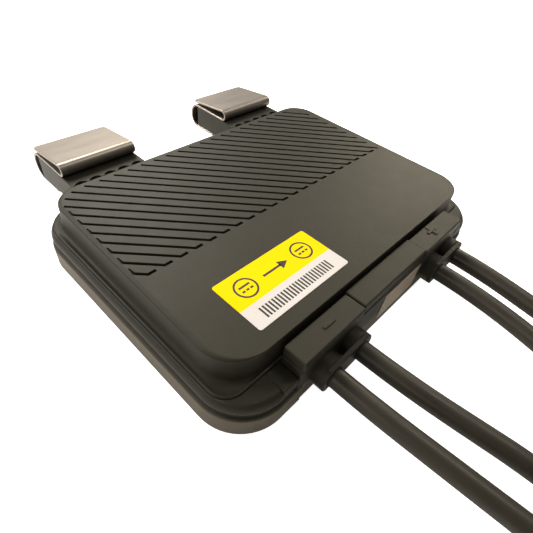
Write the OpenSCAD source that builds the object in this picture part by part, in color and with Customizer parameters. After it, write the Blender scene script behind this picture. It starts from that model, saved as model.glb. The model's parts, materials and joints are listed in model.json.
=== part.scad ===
// Module-level DC power unit for a solar panel: moulded housing, two spring clips,
// four cables with two-pole style connectors. Millimetres, +Z up, cables leave toward -Y.
// Origin: centre of the housing footprint, on its underside.

/* [Housing] */
// Width of the housing across the cable side
body_w = 139.7; // [136:0.1:144]
// Length of the housing without clips and glands
body_l = 107.6; // [106:0.1:109]
// Plan radius of the housing corners
corner_r = 16; // [13:0.5:18]
// Height of the plain lower band
band_h = 8; // [6:0.5:9]
// Height of the cover top above the underside
cover_top = 22.9; // [21.5:0.1:26]

/* [Ribs on the cover] */
// Spacing of the diagonal grooves along the front edge
rib_pitch = 5.82; // [5:0.1:8]
// Width of each groove
groove_w = 0.9; // [0.5:0.1:1.5]
// Depth of each groove
groove_d = 1; // [0.4:0.1:1.4]

/* [Clips] */
// Distance between the two clip centres
clip_span = 78.5; // [72:0.5:84]
// Width of each spring clip
clip_w = 30.4; // [26:0.2:32]
// Thickness of the clip sheet
clip_t = 0.9; // [0.7:0.1:1]

/* [Cables] */
// Outside diameter of each cable
cable_od = 6.5; // [5.8:0.1:6.6]
// Free length of the two short input cables
input_len = 95; // [92:1:110]
// Free length of the two long output cables
output_len = 155; // [150:1:220]

/* [Hidden] */
$fn = 64;

half_w = body_w / 2;
half_l = body_l / 2;
gap = 0.05;            // clearance between parts that only touch
small = 0.5;           // overlap that makes a union solid
lap = 1;               // overlap between the legs of a cable
thin = 0.01;           // how much thinner a bend is than its straights

// Tray and cover section
floor_t = 2;
ledge_z = 13.9;        // flat rim round the cover
seat_z = 12.9;         // cover rests here
bead_z = 14.3;         // crest of the cover's edge bead
ring_d = 4;            // depth of the swept outer section
pad_x = 65.6;          // cover pad half width
pad_y0 = -44.65;
pad_y1 = 49.3;
pad_rf = 12.5;
pad_rr = 10;
pad_fillet = 0.9;
pad_wall = 2;
pad_t = 2.2;           // thickness of the cover top
flange_x = 68;
flange_y0 = -45.8;
flange_y1 = 51.35;
flange_rf = 6.5;
flange_rr = 13;        // follows the tray's rear corners
flange_drop = 0.6;     // the flange lies this far below the crest of its bead
bead_w = 1.2;
cavity_x = 61.5;
cavity_y0 = -41.5;
cavity_y1 = 46.7;
cavity_r = 8;
gasket_x = 66.9;
gasket_y0 = -45.05;
gasket_y1 = 50.25;
gasket_rf = 7;
gasket_rr = 11.9;
gasket_w = 1.8;
gasket_h = 0.65;
wing_in = 48;          // small raised pads beside the front wall, from here outward
wing_out = 53.6;
wing_setback = 0.6;
wing_h = 2.4;
seam_w = 0.3;

// Groove field: lines x + y = const between a left, right, front and rear limit
rib_x = 62.5;
rib_y0 = -3.35;        // Y of the field's front limit
rib_len = 49.9;
rib_first = -59.6;     // constant of the first line
hook_left = 3;         // length of the turns along the left limit
hook_front = 2.3;
rib_count = floor((rib_x + rib_len - rib_first) / rib_pitch);

// Front wall, caps and glands
wall_x0 = -47.6;
wall_x1 = 45.6;
wall_y0 = -53.4;
wall_y1 = -45.9;
wall_z = 17;
cap_x0 = -47.5;
cap_x1 = 45.5;
cap_y0 = -53.75;
cap_y1 = -45.95;
cap_z = 21.2;
cap_seam = -19.45;     // middle of the joint between the two caps
seam_half = 0.3;
cap_step = 18;         // the positive cap is set back between the joint and here
cap_shift = 0.6;
mark_h = 0.35;
mark_w = 1.1;
mark_l = 5;
mark_minus = [-32.6, -49.55];
mark_plus = [29.5, -48.95];
axis_z = 8.6;          // cable axis height
boss_r = 5.5;
boss_y = -56.6;
plate_t = 1.45;
grommet_r = 4.2;
grommet_y = -50;
hood_half = 9.5 / 2;   // the plate between two bosses is this high on each side of its middle
hood_mid = 8.75;
cable_r = cable_od / 2;
cable_room = 0.15;     // clearance round a cable in its bores
core_r = 1.35;
jacket_bore = 1.4;
jacket_y = -38.5;      // cables end here inside the housing
core_y = -33.5;

// Cable runs: start X, then [straight, bend radius, signed bend angle] legs
// A positive angle turns toward +X. The last leg's straight takes the rest.
X_IN_NEG = -36.8;
X_OUT_NEG = -23.5;
X_IN_POS = 27.5;
X_OUT_POS = 41;
gland_front = boss_y - gap - plate_t;
stub = jacket_y - gland_front;
function runs(i, head = 0, tail = 0) =
  i == 0 ? [[stub + 4 + head, 400, 3], [input_len - 25 + tail, 60, 0]] :
  i == 1 ? [[stub + head, 300, 6], [output_len - 31.4 + tail, 60, 0]] :
  i == 2 ? [[stub + head, 150, -14], [14, 150, 14], [input_len - 87.3 + tail, 60, 0]] :
  [[stub + head, 150, -9], [12, 150, 9], [output_len - 59.1 + tail, 60, 0]];
START = [X_IN_NEG, X_OUT_NEG, X_IN_POS, X_OUT_POS];

// Label on the cover, thickness of both labels
label_x = -29.65;
label_y = -29.35;
label_w = 40;
label_l = 20;
label_r = 0.8;
foil_t = 0.14;

// Arms and clips
arm_y0 = 50.4;          // the arms close against the cover's rear wall
arm_y1 = 77;
arm_z0 = 12;
arm_z1 = 21.45;
arm_w = 30.5;
scallop_r = 2;         // small hollows along the arm's front edge
scallop_n = 5;
scallop_y = 0.7;
scallop_d = 1.2;
bend_y = 59.35;        // centre of the clip's U bend
bend_z = 24;
bend_r = bend_z - arm_z1 - gap;
leaf_tilt = 7;
leaf_len = 20.6;
leaf_corner = 1.6;
wrap_r = 5;            // outer radius of the clip's turns past the arm end
return_y = 66;

// Board and components
board_z = 4.8;
board_t = 1.6;
board_x = 58;
board_y0 = -36;
board_y1 = 43;
top_z = board_z + board_t;
post_r = 3.2;
post_hole = 1.25;
POSTS = [[-52, -20], [52, -20], [-52, 36], [52, 36]];
post_bore = 1.6;
screw_head_r = 2.8;
screw_head_h = 1.9;
barrel_r = 2.1;
spreader_t = 1.5;
ind_x = -8;            // inductor position and outer size
ind_y = 16;
ind_w = 28;
ind_l = 22;
ind_h = 12;
ind_wall = 2.2;
ind_post = 5;
ind_coil = 9.6;
film_w = 7.4;          // box capacitors
film_l = 5;
film_y = -12;
INPUT_FILM = [-44, -35.5, -27];
OUTPUT_FILM = [22, 30.5, 39];
fet_w = 5.2;           // power transistors
fet_l = 6.1;
can_wall = 0.4;        // radio shield

// Connector lengths along the cable, measured from its free end reference
nut_r = 8.5;
nut_z0 = -13;
nut_z1 = 4;
grip_r = 1.3;          // ribs round a cap nut
neck_r = 6.2;
neck_bore = 5.3;
body_r = 7.6;
shell_bore = 6.3;
shell_z = 38;
nose_r = 5.9;
nose_z = 36;
axis_bore = 3;
tongue_w = 4.8;
tongue_h = 0.9;
pin_r = 2;
crimp_r = 2.4;
shank_r = 2.9;
contact_bore = 2.05;
seal_r = 5.25;

// ---------- shared shapes ----------
// Rounded rectangle, half width x, with its own front and rear corner radii
module plan(x, y0, y1, rf, rr) {
  for (s = [-1, 1]) {
    translate([s * (x - rf), y0 + rf]) circle(rf);
    translate([s * (x - rr), y1 - rr]) circle(rr);
  }
  translate([-x, y0 + rf]) square([2 * x, y1 - y0 - rf - rr]);
  translate([rf - x, y0]) square([2 * (x - rf), rf + small]);
  translate([rr - x, y1 - rr - small]) square([2 * (x - rr), rr + small]);
}

module ring(x, y0, y1, rf, rr, w) {
  difference() {
    plan(x, y0, y1, rf, rr);
    plan(x - w, y0 + w, y1 - w, rf - w, rr - w);
  }
}

// Sweeps a section round a rounded rectangle: section x is outward (0 = outline), y is height
module edge_sweep(x, y0, y1, rf, rr) {
  corner(rf - x, y0 + rf, 180, rf) children();
  corner(x - rf, y0 + rf, 270, rf) children();
  corner(x - rr, y1 - rr, 0, rr) children();
  corner(rr - x, y1 - rr, 90, rr) children();
  side(x - rf, y0, -90, 2 * (x - rf)) children();
  side(rr - x, y1, 90, 2 * (x - rr)) children();
  side(x, y1 - rr, 0, y1 - y0 - rf - rr) children();
  side(-x, y0 + rf, 180, y1 - y0 - rf - rr) children();
}

module corner(cx, cy, a, r) {
  translate([cx, cy, 0]) rotate([0, 0, a])
    rotate_extrude(angle = 90) translate([r, 0]) children();
}

module side(px, py, a, len) {
  translate([px, py, 0]) rotate([0, 0, a]) rotate([90, 0, 0])
    linear_extrude(len) children();
}

module box(x0, x1, y0, y1, z0, z1) {
  translate([x0, y0, z0]) cube([x1 - x0, y1 - y0, z1 - z0]);
}

// Cylinder along -Y from y_from to y_to
module along_y(x, z, r, y_from, y_to) {
  translate([x, y_from, z]) rotate([90, 0, 0]) cylinder(h = y_from - y_to, r = r);
}

// Round rod or tube along the legs. Bends are a hair thinner than the straights that lap over them.
module follow(legs, ro, ri, i = 0) {
  if (i < len(legs)) {
    s = legs[i][0];
    r = legs[i][1];
    a = legs[i][2];
    way = a < 0 ? -1 : 1;
    back = i > 0 ? lap : 0;
    ahead = i < len(legs) - 1 ? lap : 0;
    translate([0, back, 0]) rotate([90, 0, 0])
      linear_extrude(s + back + ahead) washer(ro, ri);
    translate([0, -s, 0]) {
      if (a != 0)
        translate([way * r, 0, 0]) rotate([0, 0, a < 0 ? a : 180])
          rotate_extrude(angle = abs(a)) translate([r, 0]) washer(ro - thin, ri > 0 ? ri + thin : 0);
      translate([way * r, 0, 0]) rotate([0, 0, a]) translate([-way * r, 0, 0])
        follow(legs, ro, ri, i + 1);
    }
  }
}

module washer(ro, ri) {
  difference() {
    circle(ro);
    if (ri > 0) circle(ri);
  }
}

// Places children at the free end of run i, with local +Z pointing out along the cable
module at_end(i) {
  translate([START[i], jacket_y, axis_z]) walk(runs(i)) rotate([90, 0, 0]) children();
}

module walk(legs, i = 0) {
  if (i < len(legs)) {
    r = legs[i][1];
    a = legs[i][2];
    way = a < 0 ? -1 : 1;
    translate([way * r, -legs[i][0], 0]) rotate([0, 0, a]) translate([-way * r, 0, 0])
      walk(legs, i + 1) children();
  } else {
    children();
  }
}

module tube(ro, ri, z0, z1) {
  translate([0, 0, z0]) difference() {
    cylinder(h = z1 - z0, r = ro);
    translate([0, 0, -1]) cylinder(h = z1 - z0 + 2, r = ri);
  }
}

// ---------- housing ----------
module tray_section() {
  polygon([
    [-ring_d, 0], [-0.5, 0], [0, 0.5], [0, band_h - 0.5], [-0.4, band_h],
    [-1.1, band_h + 0.4], [-1.2, band_h + 1.2], [-0.8, band_h + 2], [-0.8, ledge_z - 2.2],
    [-1, ledge_z - 1.1], [-1.4, ledge_z - 0.4], [-2, ledge_z], [-ring_d, ledge_z]
  ]);
}

module base_tray() {
  color([0.36, 0.35, 0.32]) difference() {
    union() {
      tray_blank();
      box(wall_x0, wall_x1, wall_y0, wall_y1, 0, wall_z);
      for (x = START) along_y(x, axis_z, boss_r, wall_y0 + small, boss_y);
      for (s = [-1, 1]) arm(s);
      for (p = POSTS) translate([p[0], p[1], 1]) cylinder(h = board_z - gap - 1, r = post_r);
    }
    for (x = START) {
      along_y(x, axis_z, grommet_r + gap, grommet_y, boss_y - 1);
      along_y(x, axis_z, cable_r + cable_room, cavity_y0 + 1, boss_y - 1);
    }
    for (p = POSTS) translate([p[0], p[1], floor_t]) cylinder(h = board_z, r = post_hole + gap);
    translate([0, 0, seat_z - gasket_h - gap]) linear_extrude(gasket_h + 1) gasket_plan(gap);
  }
}

// Arm that carries a clip; hollows at the rib pitch run along its front edge
module arm(s) {
  x = s * clip_span / 2;
  difference() {
    box(x - arm_w / 2, x + arm_w / 2, arm_y0, arm_y1, arm_z0 + 1, arm_z1);
    for (k = [0 : scallop_n - 1])
      translate([x + (k - (scallop_n - 1) / 2) * rib_pitch, arm_y0 - scallop_y, arm_z1 - scallop_d])
        cylinder(h = 3, r = scallop_r);
  }
  box(x - arm_w / 2, x + arm_w / 2, half_l - 2, arm_y1, arm_z0, arm_z0 + 2);
}

// Housing shell before the front wall, glands and arms are added
module tray_blank() {
  difference() {
    union() {
      edge_sweep(half_w, -half_l, half_l, corner_r, corner_r) tray_section();
      linear_extrude(ledge_z) plan(half_w - 3, 3 - half_l, half_l - 3, corner_r - 3, corner_r - 3);
      for (s = [-1, 1]) corner_pad(s);
    }
    translate([0, 0, seat_z]) linear_extrude(cover_top)
      plan(flange_x + gap, flange_y0 - gap, flange_y1 + gap, flange_rf + gap, flange_rr + gap);
    translate([0, 0, floor_t]) linear_extrude(cover_top)
      plan(cavity_x, cavity_y0, cavity_y1, cavity_r, cavity_r);
    box(wall_x0 + 2, wall_x1 - 2, -half_l - 1, wall_y0, -1, cover_top);
    for (s = [-1, 1]) seam_cut(s);
  }
}

module corner_pad(s) {
  middle = s * (wing_in + wing_out) / 2;
  half = (wing_out - wing_in) / 2;
  box(middle - half, middle + half, wing_setback - half_l, wall_y1, bead_z - wing_h, bead_z);
}

// Shallow slot beside a raised pad
module seam_cut(s) {
  x = s * wing_out;
  box(x - seam_w / 2, x + seam_w / 2, -half_l, wall_y1 + 1, ledge_z - 0.4, cover_top);
}

module gasket_plan(extra) {
  ring(gasket_x + extra, gasket_y0 - extra, gasket_y1 + extra,
    gasket_rf + extra, gasket_rr + extra, gasket_w + 2 * extra);
}

module cover_gasket() {
  color([0.12, 0.12, 0.12]) translate([0, 0, seat_z - gasket_h - gap / 2])
    linear_extrude(gasket_h) gasket_plan(0);
}

module cover_section() {
  translate([-pad_wall, seat_z]) square([pad_wall, cover_top - pad_fillet - seat_z]);
  translate([-8, cover_top - pad_t]) square([8 - pad_fillet, pad_t]);
  intersection() {
    translate([-pad_fillet, cover_top - pad_fillet]) circle(pad_fillet);
    translate([-pad_fillet, cover_top - pad_fillet]) square(pad_fillet);
  }
}

// One groove on the line x + y = c; it turns along the left limit and along the front limit
module groove(c) {
  xl = max(-rib_x, c - rib_len);
  xr = min(rib_x, c);
  yl = c - xl;
  yr = c - xr;
  g = groove_w / 2;
  translate([xl, yl]) rotate(-45) translate([-g, -g]) square([(xr - xl) * sqrt(2) + groove_w, groove_w]);
  if (xl == -rib_x)
    translate([xl - g, yl - g]) square([groove_w, min(hook_left, rib_len - yl) + groove_w]);
  if (yr == 0)
    translate([xr - g, yr - g]) square([min(hook_front, rib_x - xr) + groove_w, groove_w]);
}

module top_cover() {
  color([0.45, 0.44, 0.4]) difference() {
    union() {
      edge_sweep(pad_x, pad_y0, pad_y1, pad_rf, pad_rr) cover_section();
      translate([0, 0, cover_top - pad_t]) linear_extrude(pad_t)
        plan(pad_x - 6, pad_y0 + 6, pad_y1 - 6, pad_rf - 6, pad_rr - 6);
      translate([0, 0, seat_z]) linear_extrude(bead_z - seat_z - flange_drop) difference() {
        plan(flange_x, flange_y0, flange_y1, flange_rf, flange_rr);
        plan(pad_x - 1, pad_y0 + 1, pad_y1 - 1, pad_rf - 1, pad_rr - 1);
      }
      translate([0, 0, seat_z]) linear_extrude(bead_z - seat_z)
        ring(flange_x, flange_y0, flange_y1, flange_rf, flange_rr, bead_w);
    }
    translate([0, rib_y0, cover_top - groove_d]) linear_extrude(groove_d + 1)
      for (k = [0 : rib_count - 1]) groove(rib_first + k * rib_pitch);
    for (s = [-1, 1]) arm_gap(s);
  }
}

// Room for an arm in the cover's flange
module arm_gap(s) {
  x = s * clip_span / 2;
  half = arm_w / 2 + 2 * gap;
  box(x - half, x + half, arm_y0 - gap, arm_y0 + 3, seat_z - 1, bead_z + 1);
}

// ---------- front caps, gland plates, grommets ----------
// Raised bar of a polarity mark, centred on p
module mark_bar(p, lx, ly) {
  box(p[0] - lx / 2, p[0] + lx / 2, p[1] - ly / 2, p[1] + ly / 2, cap_z - small, cap_z + mark_h);
}

module entry_cap_negative() {
  color([0.45, 0.44, 0.4]) {
    box(cap_x0, cap_seam - seam_half, cap_y0, cap_y1, wall_z + gap, cap_z);
    mark_bar(mark_minus, mark_l, mark_w);
  }
}

module entry_cap_positive() {
  x0 = cap_seam + seam_half;
  front = cap_y0 + cap_shift;
  back = cap_y1 + cap_shift;
  color([0.45, 0.44, 0.4]) {
    translate([0, 0, wall_z + gap]) linear_extrude(cap_z - wall_z - gap) polygon([
      [x0, front], [cap_step, front], [cap_step, cap_y0], [cap_x1, cap_y0],
      [cap_x1, cap_y1], [cap_step, cap_y1], [cap_step, back], [x0, back]
    ]);
    mark_bar(mark_plus, mark_l, mark_w);
    mark_bar(mark_plus, mark_w, mark_l);
  }
}

module gland_plate(xa, xb) {
  color([0.42, 0.41, 0.37]) translate([0, boss_y - gap, 0]) rotate([90, 0, 0]) linear_extrude(plate_t)
    difference() {
      union() {
        for (x = [xa, xb]) translate([x, axis_z]) circle(boss_r);
        translate([xa, hood_mid - hood_half]) square([xb - xa, 2 * hood_half]);
      }
      for (x = [xa, xb]) translate([x, axis_z]) circle(cable_r + cable_room);
    }
}

module gland_plate_negative() { gland_plate(X_IN_NEG, X_OUT_NEG); }
module gland_plate_positive() { gland_plate(X_IN_POS, X_OUT_POS); }

module cable_grommets() {
  color([0.1, 0.1, 0.1])
    for (x = START) translate([x, grommet_y - gap, axis_z]) rotate([90, 0, 0])
      tube(grommet_r, cable_r + gap, 0, grommet_y - boss_y - gap);
}

// ---------- cables ----------
module cable(i) {
  color([0.17, 0.15, 0.13]) translate([START[i], jacket_y, axis_z]) follow(runs(i), cable_r, jacket_bore);
}

module input_cable_negative() { cable(0); }
module output_cable_negative() { cable(1); }
module input_cable_positive() { cable(2); }
module output_cable_positive() { cable(3); }

module copper_cores() {
  color([0.72, 0.45, 0.2]) for (i = [0 : 3]) {
    translate([START[i], core_y, axis_z]) follow(runs(i, core_y - jacket_y, 6.5), core_r, 0);
  }
}

module terminal_barrels() {
  color([0.8, 0.8, 0.78]) for (x = START) {
    translate([x, core_y, axis_z]) rotate([90, 0, 0]) tube(barrel_r, core_r + gap, -1.5, 4);
    difference() {
      box(x - barrel_r, x + barrel_r, core_y - 3, core_y + 1.2, top_z + gap, axis_z - 0.2);
      along_y(x, axis_z, barrel_r - 0.4, core_y + 5, core_y - 9);
    }
  }
}

// ---------- board ----------
module circuit_board() {
  color([0.1, 0.35, 0.2]) difference() {
    box(-board_x, board_x, board_y0, board_y1, board_z, top_z);
    for (p = POSTS) translate([p[0], p[1], 0]) cylinder(h = 20, r = post_bore);
  }
}

module board_screws() {
  color("silver") for (p = POSTS) translate([p[0], p[1], 0]) {
    translate([0, 0, floor_t + 0.3]) cylinder(h = top_z - floor_t, r = post_hole);
    translate([0, 0, top_z + gap]) cylinder(h = screw_head_h, r = screw_head_r);
  }
}

module heat_spreader() {
  color([0.75, 0.76, 0.78]) box(-40, 30, -24, 30, floor_t + gap, floor_t + spreader_t);
}

module thermal_pad() {
  color([0.6, 0.7, 0.8]) box(-38, 28, -22, 28, floor_t + spreader_t + gap, board_z - gap);
}

// Core with two end plates, two outer legs and a round middle leg
module inductor_core() {
  color([0.2, 0.2, 0.22]) translate([ind_x, ind_y, top_z + gap]) {
    difference() {
      box(-ind_w / 2, ind_w / 2, -ind_l / 2, ind_l / 2, 0, ind_h);
      box(3 - ind_w / 2, ind_w / 2 - 3, -ind_l, ind_l, ind_wall, ind_h - ind_wall);
    }
    cylinder(h = ind_h - 1, r = ind_post);
  }
}

module inductor_winding() {
  color([0.72, 0.42, 0.2]) translate([ind_x, ind_y, top_z + gap])
    tube(ind_coil, ind_post + 0.2, ind_wall + 0.4, ind_h - ind_wall - 0.4);
}

module film_capacitors(places) {
  color([0.25, 0.4, 0.6])
    for (x = places) box(x - film_w / 2, x + film_w / 2, film_y, film_y + film_l, top_z + gap, top_z + 10);
}

module input_capacitors() { film_capacitors(INPUT_FILM); }
module output_capacitors() { film_capacitors(OUTPUT_FILM); }

module power_transistors() {
  color([0.12, 0.12, 0.13])
    for (x = [-36, -26], y = [2, 22])
      box(x - fet_w / 2, x + fet_w / 2, y, y + fet_l, top_z + gap, top_z + 1.1);
}

module bypass_diode() {
  color([0.12, 0.12, 0.13]) {
    box(-5, 5, -20, -11, top_z + gap, top_z + 4.5);
    box(-5, 5, -11, -8.5, top_z + gap, top_z + 1.3);
  }
}

module controller_chip() {
  color([0.1, 0.1, 0.11]) box(20, 29, 8, 17, top_z + gap, top_z + 1.4);
}

module radio_shield() {
  color([0.78, 0.79, 0.8]) difference() {
    box(34, 52, 6, 26, top_z + gap, top_z + 3);
    box(34 + can_wall, 52 - can_wall, 6 + can_wall, 26 - can_wall, top_z - 1, top_z + 3 - can_wall);
  }
}

// ---------- labels ----------
module product_label() {
  color([0.96, 0.86, 0.1]) translate([label_x, label_y, cover_top + 0.01]) linear_extrude(foil_t)
    plan(label_w / 2, -label_l / 2, label_l / 2, label_r, label_r);
}

module rating_label() {
  color([0.78, 0.74, 0.68]) box(-6, 18.4, wall_y0 - 0.02 - foil_t, wall_y0 - 0.01, 1.8, 15.8);
}

// ---------- spring clips ----------
// Ring sector between two angles no more than 120 degrees apart
module sector(ri, ro, a0, a1) {
  far = 3 * ro;
  am = (a0 + a1) / 2;
  intersection() {
    difference() {
      circle(ro);
      circle(ri);
    }
    polygon([[0, 0], far * [cos(a0), sin(a0)], far * [cos(am), sin(am)], far * [cos(a1), sin(a1)]]);
  }
}

module clip_section() {
  ri = bend_r - clip_t;
  z_low = arm_z0 - gap - clip_t;
  z_high = arm_z1 + gap + clip_t;
  y_turn = arm_y1 + 2 * gap;
  translate([bend_y, bend_z]) sector(ri, bend_r, 198, 270);
  translate([bend_y, z_high - clip_t]) square([y_turn - bend_y, clip_t]);
  translate([y_turn, z_high - wrap_r]) sector(wrap_r - clip_t, wrap_r, 0, 90);
  translate([y_turn + wrap_r - clip_t, z_low + wrap_r]) square([clip_t, z_high - z_low - 2 * wrap_r]);
  translate([y_turn, z_low + wrap_r]) sector(wrap_r - clip_t, wrap_r, 270, 360);
  translate([return_y, z_low]) square([y_turn - return_y, clip_t]);
}

module clip_base(s) {
  color([0.72, 0.69, 0.64]) translate([s * clip_span / 2 - clip_w / 2, 0, 0])
    rotate([90, 0, 90]) linear_extrude(clip_w) clip_section();
}

module clip_leaf(s) {
  ri = bend_r - clip_t;
  color([0.76, 0.73, 0.68]) translate([s * clip_span / 2, bend_y, bend_z]) difference() {
    translate([-clip_w / 2, 0, 0]) rotate([90, 0, 90]) linear_extrude(clip_w) {
      sector(ri, bend_r, 90 - leaf_tilt, 187);
      rotate(-leaf_tilt) translate([0, ri]) square([leaf_len, clip_t]);
    }
    rotate([-leaf_tilt, 0, 0]) for (k = [-1, 1])
      translate([k * (clip_w / 2 - leaf_corner), leaf_len - leaf_corner, 0]) leaf_corner_cut(k);
  }
}

// Rounds one free corner of a leaf; k is the side it is on.
// The rounding meets the edges at a slight angle.
module leaf_corner_cut(k) {
  linear_extrude(bend_r + 1) difference() {
    translate([k > 0 ? 0 : -leaf_corner - 1, 0]) square(leaf_corner + 1);
    circle(leaf_corner + gap);
  }
}

module clip_left() { clip_base(-1); }
module clip_leaf_left() { clip_leaf(-1); }
module clip_right() { clip_base(1); }
module clip_leaf_right() { clip_leaf(1); }

// ---------- cable connectors ----------
// Local +Z runs out of the cable end; z = 0 is the end of the jacket
module cap_nut(i) {
  color([0.13, 0.13, 0.14]) at_end(i) difference() {
    union() {
      translate([0, 0, nut_z0]) cylinder(h = 4, r1 = 5.4, r2 = nut_r - 0.8);
      translate([0, 0, nut_z0 + 4]) cylinder(h = nut_z1 - nut_z0 - 4, r = nut_r - 0.8);
      for (k = [0 : 11]) rotate([0, 0, 30 * k]) translate([nut_r - grip_r, 0, nut_z0 + 4.5])
        cylinder(h = nut_z1 - nut_z0 - 5, r = grip_r, $fn = 24);
    }
    translate([0, 0, nut_z0 - 1]) cylinder(h = 30, r = cable_r + cable_room);
    translate([0, 0, nut_z0 + 3]) cylinder(h = 30, r = neck_r + gap);
  }
}

module cap_nut_input_negative() { cap_nut(0); }
module cap_nut_output_negative() { cap_nut(1); }
module cap_nut_input_positive() { cap_nut(2); }
module cap_nut_output_positive() { cap_nut(3); }

// Neck and collar shared by both kinds of housing
module housing_back() {
  tube(neck_r, neck_bore, -6, 5);
  tube(body_r + 0.6, neck_bore, 4.2, 7);
  tube(body_r, axis_bore, 7, 14);
}

module plug_housings() {
  color([0.13, 0.13, 0.14]) for (i = [0, 1]) at_end(i) {
    housing_back();
    tube(body_r, shell_bore, 13.9, shell_z);
    for (a = [0, 180]) rotate([0, 0, a])
      box(body_r - 0.4, body_r + tongue_h, -tongue_w / 2, tongue_w / 2, 20, 34);
  }
}

module socket_housings() {
  color([0.13, 0.13, 0.14]) for (i = [2, 3]) at_end(i) {
    housing_back();
    tube(nose_r, axis_bore, 13.9, nose_z);
    for (a = [0, 180]) rotate([0, 0, a]) box(nose_r - 0.5, nose_r + 1.2, -2, 2, 24, 32);
  }
}

module plug_pins() {
  color([0.8, 0.8, 0.78]) for (i = [0, 1]) at_end(i) {
    tube(crimp_r, core_r + gap, 0.4, 8);
    translate([0, 0, 7.5]) cylinder(h = 6.5, r = shank_r);
    translate([0, 0, 13.5]) cylinder(h = 20, r = pin_r);
  }
}

module socket_contacts() {
  color([0.8, 0.8, 0.78]) for (i = [2, 3]) at_end(i) {
    tube(crimp_r, core_r + gap, 0.4, 8);
    translate([0, 0, 7.5]) cylinder(h = 6.5, r = shank_r);
    tube(shank_r, contact_bore, 13.5, 34);
  }
}

module connector_seals() {
  color([0.35, 0.35, 0.36]) for (i = [0 : 3]) at_end(i) tube(seal_r, cable_r + gap, -2, -0.2);
}

module strain_collets() {
  color([0.85, 0.85, 0.83]) for (i = [0 : 3]) at_end(i) difference() {
    tube(seal_r, cable_r + gap, -5.6, -2.2);
    for (a = [0, 60, 120]) rotate([0, 0, a]) box(-7, 7, -0.3, 0.3, -7, -3.2);
  }
}

base_tray();
top_cover();
cover_gasket();
entry_cap_negative();
entry_cap_positive();
gland_plate_negative();
gland_plate_positive();
cable_grommets();
input_cable_negative();
output_cable_negative();
input_cable_positive();
output_cable_positive();
copper_cores();
terminal_barrels();
circuit_board();
board_screws();
heat_spreader();
thermal_pad();
inductor_core();
inductor_winding();
input_capacitors();
output_capacitors();
power_transistors();
bypass_diode();
controller_chip();
radio_shield();
product_label();
rating_label();
clip_left();
clip_leaf_left();
clip_right();
clip_leaf_right();
plug_housings();
socket_housings();
plug_pins();
socket_contacts();
connector_seals();
strain_collets();
cap_nut_input_negative();
cap_nut_output_negative();
cap_nut_input_positive();
cap_nut_output_positive();
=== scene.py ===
import bpy
import bmesh
import json
import math
from mathutils import Matrix, Vector


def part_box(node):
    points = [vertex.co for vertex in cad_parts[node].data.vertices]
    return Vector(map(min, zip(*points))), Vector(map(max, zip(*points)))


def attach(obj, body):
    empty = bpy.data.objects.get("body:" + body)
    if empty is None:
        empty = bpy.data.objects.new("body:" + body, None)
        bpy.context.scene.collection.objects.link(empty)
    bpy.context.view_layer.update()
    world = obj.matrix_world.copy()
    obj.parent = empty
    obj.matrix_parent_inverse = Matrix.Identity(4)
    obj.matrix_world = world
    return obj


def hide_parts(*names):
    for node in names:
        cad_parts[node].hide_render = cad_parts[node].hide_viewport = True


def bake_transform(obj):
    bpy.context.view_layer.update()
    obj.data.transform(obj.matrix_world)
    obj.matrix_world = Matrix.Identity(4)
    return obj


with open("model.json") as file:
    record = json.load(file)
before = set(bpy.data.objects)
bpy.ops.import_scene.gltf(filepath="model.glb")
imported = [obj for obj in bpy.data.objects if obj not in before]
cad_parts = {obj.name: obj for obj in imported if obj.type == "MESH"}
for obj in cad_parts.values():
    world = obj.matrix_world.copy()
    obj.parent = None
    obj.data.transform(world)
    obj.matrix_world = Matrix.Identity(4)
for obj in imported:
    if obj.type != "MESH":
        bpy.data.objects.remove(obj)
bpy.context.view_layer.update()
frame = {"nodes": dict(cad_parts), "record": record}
scene = bpy.context.scene

# Pieces are drawn in millimetres and turned into metres when they become objects
MM = 0.001
HOUSING = "housing"
SHARP_ANGLE = 32


# ---------------------------------------------------------------- small helpers
def box_mm(node):
    lo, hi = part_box(node)
    return lo / MM, hi / MM


def add_object(name, verts, faces, mats=(), face_mats=None):
    """A mesh in millimetres becomes an object in metres."""
    mesh = bpy.data.meshes.new(name)
    mesh.from_pydata([Vector(v) * MM for v in verts], [], faces)
    mesh.validate()
    for m in mats:
        mesh.materials.append(m)
    if face_mats:
        for poly, k in zip(mesh.polygons, face_mats):
            poly.material_index = k
    obj = bpy.data.objects.new(name, mesh)
    scene.collection.objects.link(obj)
    finish_normals(obj)
    return obj


def add_piece(name, verts, faces, slot, body=HOUSING, more_looks=(), face_mats=None):
    """A named piece with its slot's material; it rides on a body unless that is None."""
    mats = [LOOKS[slot], *more_looks]
    obj = add_object(name, verts, faces, mats, face_mats)
    if body:
        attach(obj, body)
    return obj


def finish_normals(obj):
    mesh = obj.data
    bm = bmesh.new()
    bm.from_mesh(mesh)
    bmesh.ops.recalc_face_normals(bm, faces=bm.faces)
    bm.to_mesh(mesh)
    bm.free()
    mesh.shade_smooth()
    mesh.set_sharp_from_angle(angle=math.radians(SHARP_ANGLE))


def finish(obj, replaced):
    """Sharp edges by angle, normals weighted by face area, and the CAD nodes it stands for."""
    finish_normals(obj)
    mod = obj.modifiers.new("normals", "WEIGHTED_NORMAL")
    mod.keep_sharp = True
    mod.weight = 80
    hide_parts(*replaced)


def angles(n):
    return [2 * math.pi * k / n for k in range(n)]


def arc(cx, cy, r, a0, a1, n):
    """n + 1 points on an arc, from angle a0 to a1 in degrees."""
    turns = [math.radians(a0 + (a1 - a0) * k / n) for k in range(n + 1)]
    return [(cx + r * math.cos(a), cy + r * math.sin(a)) for a in turns]


def circle_z(cx, cy, r, z, n=32):
    """A level circle of points."""
    return [(cx + r * math.cos(t), cy + r * math.sin(t), z) for t in angles(n)]


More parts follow.
